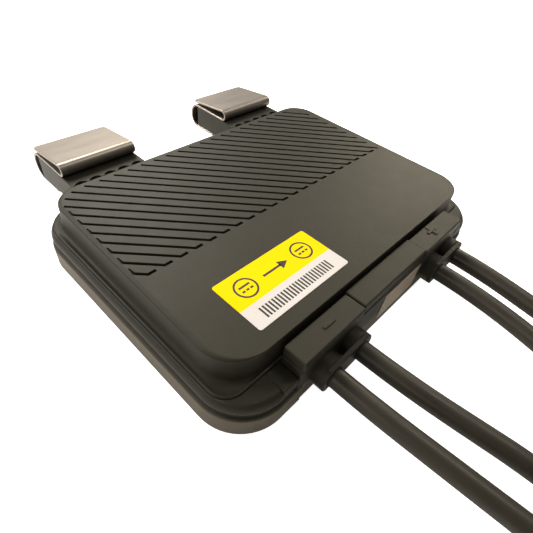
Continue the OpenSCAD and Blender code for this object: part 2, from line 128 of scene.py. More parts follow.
def plan_loop(x, y0, y1, rf, rr, n=14):
    """Points round a rounded rectangle: front-left, front-right, rear-right, rear-left corners."""
    out = arc(rf - x, y0 + rf, rf, 180, 270, n)
    out += arc(x - rf, y0 + rf, rf, 270, 360, n)
    out += arc(x - rr, y1 - rr, rr, 0, 90, n)
    out += arc(rr - x, y1 - rr, rr, 90, 180, n)
    return out


class Outline:
    """A rounded rectangle that can be offset outward and lifted to a height."""

    def __init__(self, x, y0, y1, rf, rr):
        self.args = (x, y0, y1, rf, rr)

    def at(self, d, z):
        x, y0, y1, rf, rr = self.args
        return [(px, py, z) for px, py in plan_loop(x + d, y0 - d, y1 + d, rf + d, rr + d)]


def skin(rings):
    """Joins equal rings with quads and closes both ends."""
    n = len(rings[0])
    verts = [p for ring in rings for p in ring]
    faces = []
    for i in range(len(rings) - 1):
        for k in range(n):
            j = (k + 1) % n
            faces.append((i * n + k, i * n + j, (i + 1) * n + j, (i + 1) * n + k))
    faces.append(tuple(reversed(range(n))))
    faces.append(tuple(range((len(rings) - 1) * n, len(rings) * n)))
    return verts, faces


def box_mesh(lo, hi, bevel=0, segments=3):
    bm = bmesh.new()
    bmesh.ops.create_cube(bm, size=1)
    for v in bm.verts:
        v.co = Vector([(lo[k] + hi[k]) / 2 + v.co[k] * (hi[k] - lo[k]) for k in range(3)])
    if bevel:
        bmesh.ops.bevel(bm, geom=bm.edges[:], offset=bevel, segments=segments, profile=0.5, affect="EDGES")
    bm.verts.index_update()
    verts = [tuple(v.co) for v in bm.verts]
    faces = [tuple(v.index for v in f.verts) for f in bm.faces]
    bm.free()
    return verts, faces


def merge(*parts):
    verts, faces = [], []
    for v, f in parts:
        base = len(verts)
        verts += v
        faces += [tuple(i + base for i in face) for face in f]
    return verts, faces


def cylinder_y(x, z, r, y_from, y_to, bevel=0.0, n=48):
    """A cylinder along Y whose far end (y_to) is rounded over."""
    s = 1 if y_to > y_from else -1
    ease_in = bevel * 0.3
    profile = ((r, y_from), (r, y_to - s * bevel), (r - ease_in, y_to - s * ease_in), (r - bevel, y_to))
    return skin([[(x + q * math.cos(t), y, z + q * math.sin(t)) for t in angles(n)] for q, y in profile])


def cut(obj, part, operation="DIFFERENCE"):
    """Applies an exact boolean with a mesh given in millimetres."""
    tool = add_object("tool", *part)
    mod = obj.modifiers.new("cut", "BOOLEAN")
    mod.operation = operation
    mod.solver = "EXACT"
    mod.object = tool
    dg = bpy.context.evaluated_depsgraph_get()
    made = bpy.data.meshes.new_from_object(obj.evaluated_get(dg))
    obj.modifiers.remove(mod)
    old = obj.data
    obj.data = made
    bpy.data.meshes.remove(old)
    bpy.data.objects.remove(tool)


def lift(obj):
    """Takes a mesh back out of a scratch object, in millimetres."""
    mesh = obj.data
    out = [tuple(v.co / MM) for v in mesh.vertices], [tuple(f.vertices) for f in mesh.polygons]
    bpy.data.objects.remove(obj)
    bpy.data.meshes.remove(mesh)
    return out


def ease(t):
    t = max(0.0, min(1.0, t))
    return t * t * (3 - 2 * t)


# ---------------------------------------------------------------- materials
# Sockets of the colour mix node that share their names with the other data types
MIX_A, MIX_B, MIX_OUT = 6, 7, 2
# Heights in metres between which the painted floor-bounce light on the tray's lower band gives way to its
# upper part
PAINTED_BOUNCE_FADE = (0.0074, 0.0082)


def node_tree(name):
    mat = bpy.data.materials.new(name)
    mat.use_nodes = True
    nt = mat.node_tree
    return mat, nt, nt.nodes["Principled BSDF"]


def noise(nt, coord, scale, detail=4.0, rough=0.6, stretch=None):
    tex = nt.nodes.new("ShaderNodeTexNoise")
    tex.inputs["Scale"].default_value = scale
    tex.inputs["Detail"].default_value = detail
    tex.inputs["Roughness"].default_value = rough
    if stretch:
        mapping = nt.nodes.new("ShaderNodeMapping")
        mapping.inputs["Scale"].default_value = stretch
        nt.links.new(coord, mapping.inputs["Vector"])
        coord = mapping.outputs["Vector"]
    nt.links.new(coord, tex.inputs["Vector"])
    return tex.outputs["Fac"]


def remap(nt, value, lo, hi, a=0.3, b=0.7):
    """Turns the range a..b of a value into lo..hi."""
    node = nt.nodes.new("ShaderNodeMapRange")
    node.inputs["From Min"].default_value = a
    node.inputs["From Max"].default_value = b
    node.inputs["To Min"].default_value = lo
    node.inputs["To Max"].default_value = hi
    nt.links.new(value, node.inputs["Value"])
    return node.outputs["Result"]


def mix(nt, factor, a, b):
    """Blends two colours, each a tuple or a socket."""
    node = nt.nodes.new("ShaderNodeMix")
    node.data_type = "RGBA"
    nt.links.new(factor, node.inputs["Factor"])
    for socket, value in ((MIX_A, a), (MIX_B, b)):
        if isinstance(value, tuple):
            node.inputs[socket].default_value = (*value, 1)
        else:
            nt.links.new(value, node.inputs[socket])
    return node.outputs[MIX_OUT]


def part_of(nt, coord, axis):
    """One of the three numbers of a place."""
    split = nt.nodes.new("ShaderNodeSeparateXYZ")
    nt.links.new(coord, split.inputs[0])
    return split.outputs[axis]


def edge_mask(nt, radius):
    """1 on rubbed edges, which also carry a painted edge highlight, 0 on flats: how far the rounded normal
    leans from the true one.
    """
    bevel = nt.nodes.new("ShaderNodeBevel")
    bevel.samples = 4
    bevel.inputs["Radius"].default_value = radius
    geo = nt.nodes.new("ShaderNodeNewGeometry")
    dot = nt.nodes.new("ShaderNodeVectorMath")
    dot.operation = "DOT_PRODUCT"
    nt.links.new(bevel.outputs["Normal"], dot.inputs[0])
    nt.links.new(geo.outputs["Normal"], dot.inputs[1])
    return remap(nt, dot.outputs["Value"], 1.0, 0.0, 0.86, 0.995)


def shade(color, factor, lift_by=0.0):
    """A colour made lighter or darker, kept within 0..1."""
    return tuple(max(0.0, min(1.0, c * factor + lift_by)) for c in color)


def surface(
    name,
    color,
    spread=0.08,
    patch=45.0,
    grain=2200.0,
    bump=0.12,
    rough=(0.5, 0.65),
    wear_and_sheen=0.25,
    wear_and_sheen_color=None,
    metallic=0.0,
    stretch=None,
    wear_and_sheen_radius=0.0004,
    specular=0.4,
    tint=(1.0, 1.0, 1.0),
    low=None,
):
    """One family of procedural finishes: patchy colour, fine grain, uneven gloss, edges lightened as rubbed
    wear and a painted highlight, and an optional painted floor-bounce light on the lower band.
    """
    mat, nt, bsdf = node_tree(name)
    coord = nt.nodes.new("ShaderNodeTexCoord").outputs["Object"]
    light = shade(color, 1 + spread)
    cloud = noise(nt, coord, patch, 5.0)
    base = mix(nt, remap(nt, cloud, 0.0, 1.0), shade(color, 1 - spread), light)
    # Painted floor-bounce light: below the fade heights the lower band takes a lighter, warmer colour
    if low:
        base = mix(nt, remap(nt, part_of(nt, coord, "Z"), 1.0, 0.0, *PAINTED_BOUNCE_FADE), base, low)
    speck = noise(nt, coord, grain, 2.0, 0.7, stretch)
    base = mix(nt, remap(nt, speck, 0.0, 0.35, 0.45, 0.75), base, light)
    # Edges are lightened: partly rubbed wear, partly a painted edge highlight
    if wear_and_sheen:
        rubbed_and_lit = wear_and_sheen_color or shade(color, 1.5, 0.03)
        strength = nt.nodes.new("ShaderNodeMath")
        strength.operation = "MULTIPLY"
        strength.inputs[1].default_value = wear_and_sheen
        nt.links.new(edge_mask(nt, wear_and_sheen_radius), strength.inputs[0])
        base = mix(nt, strength.outputs[0], base, rubbed_and_lit)
    nt.links.new(base, bsdf.inputs["Base Color"])
    gloss = noise(nt, coord, patch * 3.1, 4.0, 0.6, stretch)
    nt.links.new(remap(nt, gloss, *rough), bsdf.inputs["Roughness"])
    bsdf.inputs["Metallic"].default_value = metallic
    bsdf.inputs["Specular IOR Level"].default_value = specular
    bsdf.inputs["Specular Tint"].default_value = (*tint, 1)
    node = nt.nodes.new("ShaderNodeBump")
    node.inputs["Strength"].default_value = bump
    node.inputs["Distance"].default_value = 0.0002
    nt.links.new(speck, node.inputs["Height"])
    nt.links.new(node.outputs["Normal"], bsdf.inputs["Normal"])
    return mat


TRAY_GREY = (0.0200, 0.0182, 0.0110)
# Lighter, warmer colour painted on the tray's lower band as floor-bounce light
PAINTED_BOUNCE_GREY = (0.11, 0.092, 0.062)
COVER_GREY = (0.0215, 0.0197, 0.0122)
WARM = (1.0, 0.96, 0.88)
PRINT = {"bump": 0.02, "wear_and_sheen": 0.0}

# One material for each slot of the record
LOOKS = {
    "tray_plastic": surface(
        "tray_plastic",
        TRAY_GREY,
        spread=0.04,
        bump=0.25,
        rough=(0.5, 0.56),
        specular=0.24,
        tint=WARM,
        low=PAINTED_BOUNCE_GREY,
    ),
    "cover_plastic": surface(
        "cover_plastic", COVER_GREY, spread=0.03, bump=0.25, rough=(0.5, 0.54), specular=0.24, tint=WARM
    ),
    "seal_rubber": surface("seal_rubber", (0.02, 0.02, 0.02), bump=0.2, rough=(0.6, 0.8), wear_and_sheen=0.1),
    "cable_jacket": surface(
        "cable_jacket",
        (0.024, 0.0205, 0.0135),
        spread=0.12,
        patch=30,
        grain=900,
        bump=0.1,
        rough=(0.36, 0.5),
        wear_and_sheen=0.0,
        specular=0.34,
        tint=WARM,
    ),
    "connector_plastic": surface(
        "connector_plastic", (0.022, 0.022, 0.024), grain=1500, rough=(0.4, 0.55), wear_and_sheen=0.35
    ),
    "spring_steel": surface(
        "spring_steel",
        (0.235, 0.205, 0.172),
        spread=0.05,
        patch=70,
        grain=500,
        bump=0.05,
        rough=(0.34, 0.44),
        # Light edge colour: rubbed wear and a painted edge highlight along the sheet's edges and bend
        wear_and_sheen=0.35,
        wear_and_sheen_color=(0.62, 0.56, 0.48),
        metallic=0.85,
        stretch=(0.15, 1.0, 1.0),
    ),
    "tinned_metal": surface(
        "tinned_metal", (0.7, 0.7, 0.68), rough=(0.25, 0.4), wear_and_sheen=0.2, metallic=1.0, bump=0.05
    ),
    "copper": surface("copper", (0.72, 0.38, 0.2), rough=(0.3, 0.45), wear_and_sheen=0.1, metallic=1.0, bump=0.08),
    "aluminium_sheet": surface(
        "aluminium_sheet", (0.72, 0.73, 0.75), rough=(0.35, 0.5), metallic=1.0, stretch=(0.1, 1, 1)
    ),
    "steel": surface("steel", (0.55, 0.55, 0.55), rough=(0.3, 0.45), metallic=1.0),
    "gap_pad": surface("gap_pad", (0.4, 0.46, 0.55), rough=(0.7, 0.85), wear_and_sheen=0.0),
    "board": surface("board", (0.02, 0.13, 0.06), rough=(0.3, 0.45), wear_and_sheen=0.2, grain=700),
    "ferrite": surface("ferrite", (0.05, 0.05, 0.055), rough=(0.5, 0.7), wear_and_sheen=0.2),
    "component_blue": surface("component_blue", (0.03, 0.09, 0.25), rough=(0.3, 0.5), wear_and_sheen=0.2),
    "component_black": surface("component_black", (0.02, 0.02, 0.022), wear_and_sheen=0.2),
    "collet_plastic": surface("collet_plastic", (0.6, 0.6, 0.57), rough=(0.4, 0.6), wear_and_sheen=0.1),
    "label_yellow": surface(
        "label_yellow", (0.86, 0.62, 0.0), spread=0.02, rough=(0.5, 0.6), specular=0.04, **PRINT
    ),
    "label_silver": surface(
        "label_silver", (0.45, 0.35, 0.24), spread=0.12, patch=260, bump=0.05, rough=(0.35, 0.5), wear_and_sheen=0.0
    ),
}
LABEL_WHITE = surface(
    "label_white", (0.64, 0.6, 0.56), spread=0.03, rough=(0.5, 0.6), specular=0.1, **PRINT
)
LABEL_INK = surface("label_ink", (0.02, 0.017, 0.01), spread=0.05, rough=(0.4, 0.5), **PRINT)
FADED_INK = surface("label_faded_ink", (0.2, 0.15, 0.11), spread=0.1, rough=(0.4, 0.5), **PRINT)

for part in frame["record"]["subparts"]:
    obj = frame["nodes"][part["node"]]
    obj.data.materials.clear()
    obj.data.materials.append(LOOKS[part["material_slot"]])

# ---------------------------------------------------------------- cover
PAD = Outline(65.5, -44.65, 49.3, 12.5, 10)
FLANGE = Outline(68, -45.8, 51.35, 6.5, 13)
SEAT = box_mm("top_cover")[0].z
COVER_TOP = box_mm("top_cover")[1].z
# Radius of the pad's upper edge, and top of the raised line along the flange
FILLET = 0.9
BEAD = 14.3
# How far the pad's wall stands out at its foot, its top moves right, and its left wall runs in
FLARE, TOP_SHIFT, LEFT_RUN_IN, RUN_IN_LENGTH = 0.55, 0.6, 0.8, 45
FRONT_FLARE = 0.3

# Profiles as (offset, height)
PAD_INSIDE = ((-2.6, COVER_TOP - 2.2), (-2.0, COVER_TOP - 2.8), (-2, SEAT))
FLANGE_EDGE = (
    (-0.15, SEAT),
    (0, SEAT + 0.15),
    (0, 13.72),
    (-0.08, 14.0),
    (-0.24, 14.2),
    (-0.5, BEAD),
    (-0.8, 14.32),
)
FOOT = (FLARE, 14.5)
# Shares of the way from the flange's edge to the foot at which the channel has its rings
CHANNEL_AT = (0.3, 0.7)
PAD_WALL = ((0.4, 14.75), (0.3, 15.15), (0.22, 15.8), (0.15, 16.7), (0.08, 18.2), (0.02, 20.0))

# Arms that carry the clips: middle, width and rear end
ARM_X, ARM_W, ARM_END = 39.25, 30.5, 77
# Grooves on lines x + y = constant: limits of their field, its corner radius, and the turned ends
RIB_X, RIB_Y0, RIB_LEN, RIB_FIRST, RIB_PITCH = 62.5, -3.35, 49.9, -59.6, 5.82
FIELD_R = 9.0
HOOK_LEFT, HOOK_FRONT, HOOK_LEAST = 2.2, 2.3, 0.3
CORNER_STEP = 0.1
# Half width and height of the groove's section; a turned end starts narrower and shallower
GROOVE = ((0.62, 0.6), (0.57, 0.0), (0.46, -0.14), (0.42, -1.0))
GROOVE_OVERRUN = 0.45
TAPER = (0.45, 0.3)
# The flange stops at the arms: y and z of the gaps in it, and play at each side
ARM_GAP_Y, ARM_GAP_Z, ARM_PLAY = (50.35, 54), (12, 15.3), 0.1


def pad_wall(d, z):
    """The pad outline, flared more at the sides than at the front; its top lies a little to the right.

    The left wall runs in a little toward the rear.
    """
    x, y0, y1, rf, rr = PAD.args
    shift = TOP_SHIFT * (1 - d / FLARE)
    out = []
    for px, py in plan_loop(x + d, y0 - d * FRONT_FLARE, y1 + d, rf + d, rr + d):
        run_in = LEFT_RUN_IN * ease(py / RUN_IN_LENGTH) if px < 0 else 0
        out.append((px + shift + run_in, py, z))
    return out


def between(a, b, t, z):
    """A ring part of the way from ring a to ring b, at its own height."""
    out = []
    for p, q in zip(a, b):
        v = Vector(p).lerp(Vector(q), t)
        out.append((v.x, v.y, z))
    return out


def channel(a, b, t, slope=0.35, limit=0.55, free=1.6):
    """A ring between two others that sinks where they are more than `free` apart."""
    out = []
    for p, q in zip(a, b):
        v = Vector(p).lerp(Vector(q), t)
        room = (Vector(p).xy - Vector(q).xy).length
        out.append((v.x, v.y, v.z - min(limit, max(0.0, room - free) * slope)))
    return out


def cover_rings():
    rings = [PAD.at(d, z) for d, z in PAD_INSIDE]
    rings += [FLANGE.at(d, z) for d, z in FLANGE_EDGE]
    foot = pad_wall(*FOOT)
    rings += [channel(rings[-1], foot, t) for t in CHANNEL_AT]
    rings.append(foot)
    rings += [pad_wall(d, z) for d, z in PAD_WALL]
    steps = 6
    for k in range(steps + 1):
        a = math.radians(90 * k / steps)
        rings.append(pad_wall(FILLET * (math.cos(a) - 1), COVER_TOP - FILLET + FILLET * math.sin(a)))
    return rings


def groove_path(c):
    """Groove on the line x + y = c inside the rib field, with its turns; and whether it has a left turn."""
    xl, xr = max(-RIB_X, c - RIB_LEN), min(RIB_X, c)
    corner = (FIELD_R - RIB_X, RIB_LEN - FIELD_R)
    turned = xl == -RIB_X and c - xl < corner[1]
    while xl < corner[0] and c - xl > corner[1] and math.dist((xl, c - xl), corner) > FIELD_R:
        xl += CORNER_STEP
    yl, yr = c - xl, c - xr
    pts = [(xl, yl), (xr, yr)]
    if turned:
        pts.insert(0, (xl, yl + HOOK_LEFT))
    if yr == 0 and min(HOOK_FRONT, RIB_X - xr) > HOOK_LEAST:
        pts.append((min(xr + HOOK_FRONT, RIB_X), yr))
    return [(x, y + RIB_Y0) for x, y in pts], turned


def ribbon(path, section, z_ref, tapered):
    """Sweeps a symmetric trough section (half width, height) along a plan path with mitred corners.

    A tapered path starts narrow and shallow.
    """
    pts = [Vector(p) for p in path]
    pts[0] = pts[0] + (pts[0] - pts[1]).normalized() * GROOVE_OVERRUN
    pts[-1] = pts[-1] + (pts[-1] - pts[-2]).normalized() * GROOVE_OVERRUN
    rings = []
    for i, p in enumerate(pts):
        d_in = (p - pts[i - 1]).normalized() if i else (pts[1] - p).normalized()
        d_out = (pts[i + 1] - p).normalized() if i < len(pts) - 1 else d_in
        t = (d_in + d_out).normalized()
        side = Vector((-t.y, t.x)) / max(t.dot(d_in), 0.5)
        wide, deep = TAPER if tapered and i == 0 else (1, 1)
        ring = []
        for sign, half in ((-1, section), (1, tuple(reversed(section)))):
            for w, z in half:
                reach = sign * w * wide
                ring.append((p.x + side.x * reach, p.y + side.y * reach, z_ref + (z * deep if z < 0 else z)))
        rings.append(ring)
    return skin(rings)


def make_cover():
    obj = add_piece("cover_shell", *skin(cover_rings()), "cover_plastic")
    count = int((RIB_X + RIB_LEN - RIB_FIRST) // RIB_PITCH)
    troughs = []
    for k in range(count):
        path, turned = groove_path(RIB_FIRST + k * RIB_PITCH)
        troughs.append(ribbon(path, GROOVE, COVER_TOP, turned))
    cut(obj, merge(*troughs))
    reach = ARM_W / 2 + ARM_PLAY
    (y0, y1), (z0, z1) = ARM_GAP_Y, ARM_GAP_Z
    gaps = [box_mesh((x - reach, y0, z0), (x + reach, y1, z1)) for x in (-ARM_X, ARM_X)]
    cut(obj, merge(*gaps))
    finish(obj, ["top_cover"])


# ---------------------------------------------------------------- tray
TRAY = Outline(69.85, -53.8, 53.8, 16, 16)
POCKET = Outline(68.05, -45.85, 51.4, 6.55, 13.05)
GASKET_OUT = Outline(66.95, -45.1, 50.3, 7.05, 11.95)
GASKET_IN = Outline(65.05, -43.2, 48.4, 5.15, 10.05)
CAVITY = Outline(61.5, -41.5, 46.7, 8, 8)
LEDGE, POCKET_FLOOR, GASKET_FLOOR, CAVITY_FLOOR = 13.9, 12.9, 12.2, 2
# Outside of the tray as (offset, height): foot, lower band, waist, upper roll, shoulder
TRAY_EDGE = (
    (-0.5, 0),
    (-0.15, 0.15),
    (0, 0.5),
    (0, 7.3),
    (-0.1, 7.65),
    (-0.4, 8.0),
    (-0.85, 8.2),
    (-1.12, 8.5),
    (-1.2, 8.9),
    (-1.05, 9.4),
    (-0.75, 10.0),
    (-0.55, 10.6),
    (-0.5, 11.2),
    (-0.58, 11.8),
    (-0.8, 12.4),
    (-1.15, 12.95),
    (-1.55, 13.35),
)

GLAND_X = (-36.8, -23.5, 27.5, 41.0)
AXIS_Z = 8.6
BOSS_R, BOSS_ROOT, BOSS_FRONT, BOSS_EDGE = 5.5, -52.9, -56.6, 0.3
# Bore for the cable and the wider seat for its grommet, as (radius, rear end); both open at the front
BORES = ((3.4, -40.5), (4.25, -50))
BORE_FRONT = -57
# Front wall block under the entry caps: x from and to, y from and to, z from and to
WALL_X, WALL_Y, WALL_Z = (-47.6, 45.6), (-53.4, -45.9), (0.3, 17.0)
# Beside each end of it a low wing lies on the ledge; x is measured from the middle
WING_X, WING_Y, WING_Z = (48.0, 53.6), (-53.2, -45.95), (11.6, BEAD)
EDGE_SMALL, WING_EDGE = 0.3, 0.35
# The tray's front is cut back to that block's face, save this much at each end; the cut reaches past the
# tray in front (y), below and above (z)
FRONT_MARGIN = 2
CUT_FRONT, CUT_BELOW, CUT_ABOVE = -56, -1, 30
# Board posts: places, and their profile as (radius, height)
POST_X, POST_Y = (-52, 52), (-20, 36)
POST = ((3.2, 1.0), (3.2, 4.6), (3.05, 4.75), (1.3, 4.75), (1.3, 2.0))

# Arms: an upper block and a lower one that starts further back, as y from and z from and to
ARM_UPPER = (50.4, 13.05, 21.45)
ARM_LOWER = (51.8, 12.02, 16)
ARM_EDGE = 0.35
# Scallops along the arm's root at the grooves' pitch, as (radius, height), and the slot that joins them
SCALLOP_Y, SCALLOPS = 49.7, range(-2, 3)
SCALLOP = ((2.75, 20.25), (2.75, 21.35), (2.88, 21.6), (2.88, 22.5))
SLOT_INSET, SLOT_Y, SLOT_Z = 0.4, (50.5, 51.05), (20.3, 22)


def tray_rings():
    rings = [TRAY.at(d, z) for d, z in TRAY_EDGE]
    shoulder = rings[-1]
    inner = POCKET.at(0.07, LEDGE)
    rings += [between(shoulder, inner, 0.12, LEDGE - 0.15), between(shoulder, inner, 0.35, LEDGE)]
    rings += [inner, POCKET.at(0, LEDGE - 0.12), POCKET.at(0, POCKET_FLOOR)]
    rings += [GASKET_OUT.at(0, POCKET_FLOOR), GASKET_OUT.at(0, GASKET_FLOOR)]
    rings += [GASKET_IN.at(0, GASKET_FLOOR), GASKET_IN.at(0, POCKET_FLOOR)]
    rings += [CAVITY.at(0, POCKET_FLOOR), CAVITY.at(0, CAVITY_FLOOR)]
    return rings


def arm(side):
    """An arm that carries a spring clip, as one mesh."""
    x = side * ARM_X
    lo, hi = x - ARM_W / 2, x + ARM_W / 2
    upper, lower = (
        box_mesh((lo, y0, z0), (hi, ARM_END, z1), ARM_EDGE) for y0, z0, z1 in (ARM_UPPER, ARM_LOWER)
    )
    block = add_object("arm", *upper)
    cut(block, lower, "UNION")
    for k in SCALLOPS:
        cut(block, skin([circle_z(x + k * RIB_PITCH, SCALLOP_Y, r, z) for r, z in SCALLOP]))
    slot_lo, slot_hi = zip((lo + SLOT_INSET, hi - SLOT_INSET), SLOT_Y, SLOT_Z)
    cut(block, box_mesh(slot_lo, slot_hi))
    return lift(block)


def make_tray():
    obj = add_piece("tray_shell", *skin(tray_rings()), "tray_plastic")
    cut_lo = (WALL_X[0] + FRONT_MARGIN, CUT_FRONT, CUT_BELOW)
    cut_hi = (WALL_X[1] - FRONT_MARGIN, WALL_Y[0], CUT_ABOVE)
    cut(obj, box_mesh(cut_lo, cut_hi))
    wall_lo, wall_hi = zip(WALL_X, WALL_Y, WALL_Z)
    adds = [box_mesh(wall_lo, wall_hi, EDGE_SMALL)]
    adds += [cylinder_y(x, AXIS_Z, BOSS_R, BOSS_ROOT, BOSS_FRONT, BOSS_EDGE) for x in GLAND_X]
    for side in (-1, 1):
        wing_lo, wing_hi = zip(sorted(side * x for x in WING_X), WING_Y, WING_Z)
        adds.append(box_mesh(wing_lo, wing_hi, WING_EDGE))
    adds += [arm(side) for side in (-1, 1)]
    adds += [skin([circle_z(x, y, r, z) for r, z in POST]) for x in POST_X for y in POST_Y]
    for part in adds:
        cut(obj, part, "UNION")
    for r, y in BORES:
        for x in GLAND_X:
            cut(obj, cylinder_y(x, AXIS_Z, r, y, BORE_FRONT))
    finish(obj, ["base_tray"])


# ---------------------------------------------------------------- entry caps
CAP_Z = (17.05, 21.2)
CAP_Y = (-53.75, -45.95)
# The middle length of the plus cap is set back a little
MIDDLE_Y = (-53.15, -45.35)
CAP_EDGE, CAP_SEGMENTS, CAP_STEP = 0.55, 4, 0.01
CAP_SPANS = {
    "negative": [((-47.5, -19.75), CAP_Y)],
    "positive": [((-19.15, 18.2), MIDDLE_Y), ((17.6, 45.5), CAP_Y)],
}
# Raised polarity marks, as x from and to and y from and to
MARK_Z, MARK_EDGE = (20.7, 21.55), 0.15
CAP_MARKS = {
    "negative": [((-35, -30.2), (-50.1, -49.0))],
    "positive": [((27, 32), (-49.5, -48.4)), ((28.95, 30.05), (-51.45, -46.45))],
}


def cap_block(span_x, span_y, raised):
    lo, hi = zip(span_x, span_y, [z + raised for z in CAP_Z])
    return box_mesh(lo, hi, CAP_EDGE, CAP_SEGMENTS)


def make_caps():
    """The two lids over the cable entries, each with its polarity mark."""
    for pole, spans in CAP_SPANS.items():
        obj = add_piece("entry_lid_" + pole, *cap_block(*spans[0], 0), "cover_plastic")
        for span in spans[1:]:
            cut(obj, cap_block(*span, CAP_STEP), "UNION")
        for mark in CAP_MARKS[pole]:
            lo, hi = zip(*mark, MARK_Z)
            cut(obj, box_mesh(lo, hi, MARK_EDGE), "UNION")
        finish(obj, ["entry_cap_" + pole])


# ---------------------------------------------------------------- gland plates
# Face of the plate as (inset, y), and lower and upper edge of the bar between its bosses
PLATE_FACE = ((0.0, -56.62), (0.0, -57.85), (0.12, -58.02), (0.35, -58.1))
PLATE_Z = (4, 13.5)
PLATE_BORE, PLATE_BORE_Y = 3.4, (-56, -59)


def stadium(xa, xb, r, zl, zh, n=24):
    """Plan of a gland plate in x, z: two bosses joined by a flat bar."""
    low = -math.degrees(math.asin((AXIS_Z - zl) / r))
    high = math.degrees(math.asin((zh - AXIS_Z) / r))
    return arc(xb, AXIS_Z, r, low, high, n) + arc(xa, AXIS_Z, r, 180 - high, 180 - low, n)


def make_plates():
    zl, zh = PLATE_Z
    for pole, (xa, xb) in (("negative", GLAND_X[:2]), ("positive", GLAND_X[2:])):
        rings = []
        for d, y in PLATE_FACE:
            rings.append([(x, y, z) for x, z in stadium(xa, xb, BOSS_R - d, zl + d, zh - d)])
        obj = add_piece("gland_flange_" + pole, *skin(rings), "cover_plastic")
        for x in (xa, xb):
            cut(obj, cylinder_y(x, AXIS_Z, PLATE_BORE, *PLATE_BORE_Y))
        finish(obj, ["gland_plate_" + pole])


# ---------------------------------------------------------------- clips
SHEET = 0.9
CLIP_HALF_WIDTH, CLIP_EDGE = 15.2, 0.14
ARM_UNDERSIDE, ARM_TOP = 12 - 0.05, 21.5
STRIP_START = 66.0
TURN_Y, TURN_R = ARM_END + 0.1, 5
BEND_Y, BEND_Z, BEND_R = 59.35, 24.0, 2.5
LEAF_TILT, LEAF_LENGTH, LEAF_CORNER = 7, 20.6, 1.6


def clip_path():
    """Centre line of the bent sheet in y, z, from its return under the arm to the free end of the leaf."""
    low = ARM_UNDERSIDE - SHEET / 2
    high = ARM_TOP + SHEET / 2
    turn = TURN_R - SHEET / 2
    pts = [(STRIP_START + (TURN_Y - STRIP_START) * k / 8, low) for k in range(8)]
    pts += arc(TURN_Y, low + turn, turn, 270, 360, 12)
    pts += arc(TURN_Y, high - turn, turn, 0, 90, 12)
    pts += [(TURN_Y + (BEND_Y - TURN_Y) * k / 12, high) for k in range(1, 12)]
    pts += arc(BEND_Y, BEND_Z, BEND_R - SHEET / 2, 270, 90 - LEAF_TILT, 28)
    y, z = pts[-1]
    tilt = math.radians(LEAF_TILT)
    stations = [LEAF_LENGTH * k / 12 for k in range(1, 11)]
    stations += [LEAF_LENGTH - LEAF_CORNER * (1 - math.sin(math.radians(90 * k / 8))) for k in range(9)]
    return pts + [(y + math.cos(tilt) * v, z - math.sin(tilt) * v) for v in stations]


def sheet_section(w):
    """Section of the sheet as (across, out of the surface), with small flats on its edges."""
    h, e = SHEET / 2, CLIP_EDGE
    half = ((w - e, -h), (w, e - h), (w, h - e), (w - e, h))
    return [(-w + e, -h), *half, (-w + e, h), (-w, h - e), (-w, e - h)]


def make_clip(side):
    pts = clip_path()
    cx = (-1 if side == "left" else 1) * ARM_X
    rings = []
    end = Vector(pts[-1])
    for i, p in enumerate(pts):
        before, after = Vector(pts[max(i - 1, 0)]), Vector(pts[min(i + 1, len(pts) - 1)])
        d = (after - before).normalized()
        w = CLIP_HALF_WIDTH
        left = (end - Vector(p)).length
        if i > len(pts) // 2 and left < LEAF_CORNER:
            w += math.sqrt(max(LEAF_CORNER**2 - (LEAF_CORNER - left) ** 2, 0)) - LEAF_CORNER
        rings.append([(cx + u, p[0] - d.y * v, p[1] + d.x * v) for u, v in sheet_section(w)])
    obj = add_piece(side + "_spring_clip", *skin(rings), "spring_steel", body=None)
    finish(obj, ["clip_" + side, "clip_leaf_" + side])
    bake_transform(obj)


# ---------------------------------------------------------------- cables
CABLE_R, CORE_R = 3.25, 1.35
CABLE_START = -38.5
STUB = CABLE_START + 58.1
SHORT_RUN, LONG_RUN = 95, 155
# Each leg is (length, radius of the turn after it, degrees); the last is what the turns leave of the free run
RUNS = {
    "input_cable_negative": (-36.8, [(STUB + 4, 400, 3), (70, 0, 0)]),
    "output_cable_negative": (-23.5, [(STUB, 300, 6), (LONG_RUN - 31.4, 0, 0)]),
    "input_cable_positive": (27.5, [(STUB, 150, -14), (14, 150, 14), (SHORT_RUN - 87.3, 0, 0)]),
    "output_cable_positive": (41.0, [(STUB, 150, -9), (12, 150, 9), (LONG_RUN - 59.1, 0, 0)]),
}
# The bare core reaches past the jacket, inside the housing (head) and inside the connector (tail)
CORE_HEAD, CORE_TAIL = 5.0, 6.5
STEP = 2
# A long cable sinks between its gland and its connector
SAG, SAG_FROM, SAG_OVER, SAG_END, SAG_END_OVER, SAG_LEAST_RUN = 5.0, 62, 50, 13, 45, 150


def plan_run(x, legs, head=0.0, tail=0.0):
    """Centre line in x, y of a cable, densely sampled, with the length along it."""
    pos = Vector((x, CABLE_START + head))
    heading = -math.pi / 2
    pts = [(pos.copy(), 0.0)]
    s = 0.0
    for k, (length, r, a) in enumerate(legs):
        if k == 0:
            length += head
        if k == len(legs) - 1:
            length += tail
        steps = max(1, round(length / STEP))
        for _ in range(steps):
            pos = pos + Vector((math.cos(heading), math.sin(heading))) * (length / steps)
            s += length / steps
            pts.append((pos.copy(), s))
        if a:
            steps = max(2, round(abs(math.radians(a)) * r / STEP))
            da = math.radians(a) / steps
            chord = 2 * r * math.sin(abs(da) / 2)
            for _ in range(steps):
                heading += da / 2
                pos = pos + Vector((math.cos(heading), math.sin(heading))) * chord
                heading += da / 2
                s += chord
                pts.append((pos.copy(), s))
    return pts


def sag(s, total):
    """How far a cable has sunk at length s along it."""
    if total <= SAG_LEAST_RUN:
        return 0.0
    return SAG * min(ease((s - SAG_FROM) / SAG_OVER), ease((total - SAG_END - s) / SAG_END_OVER))


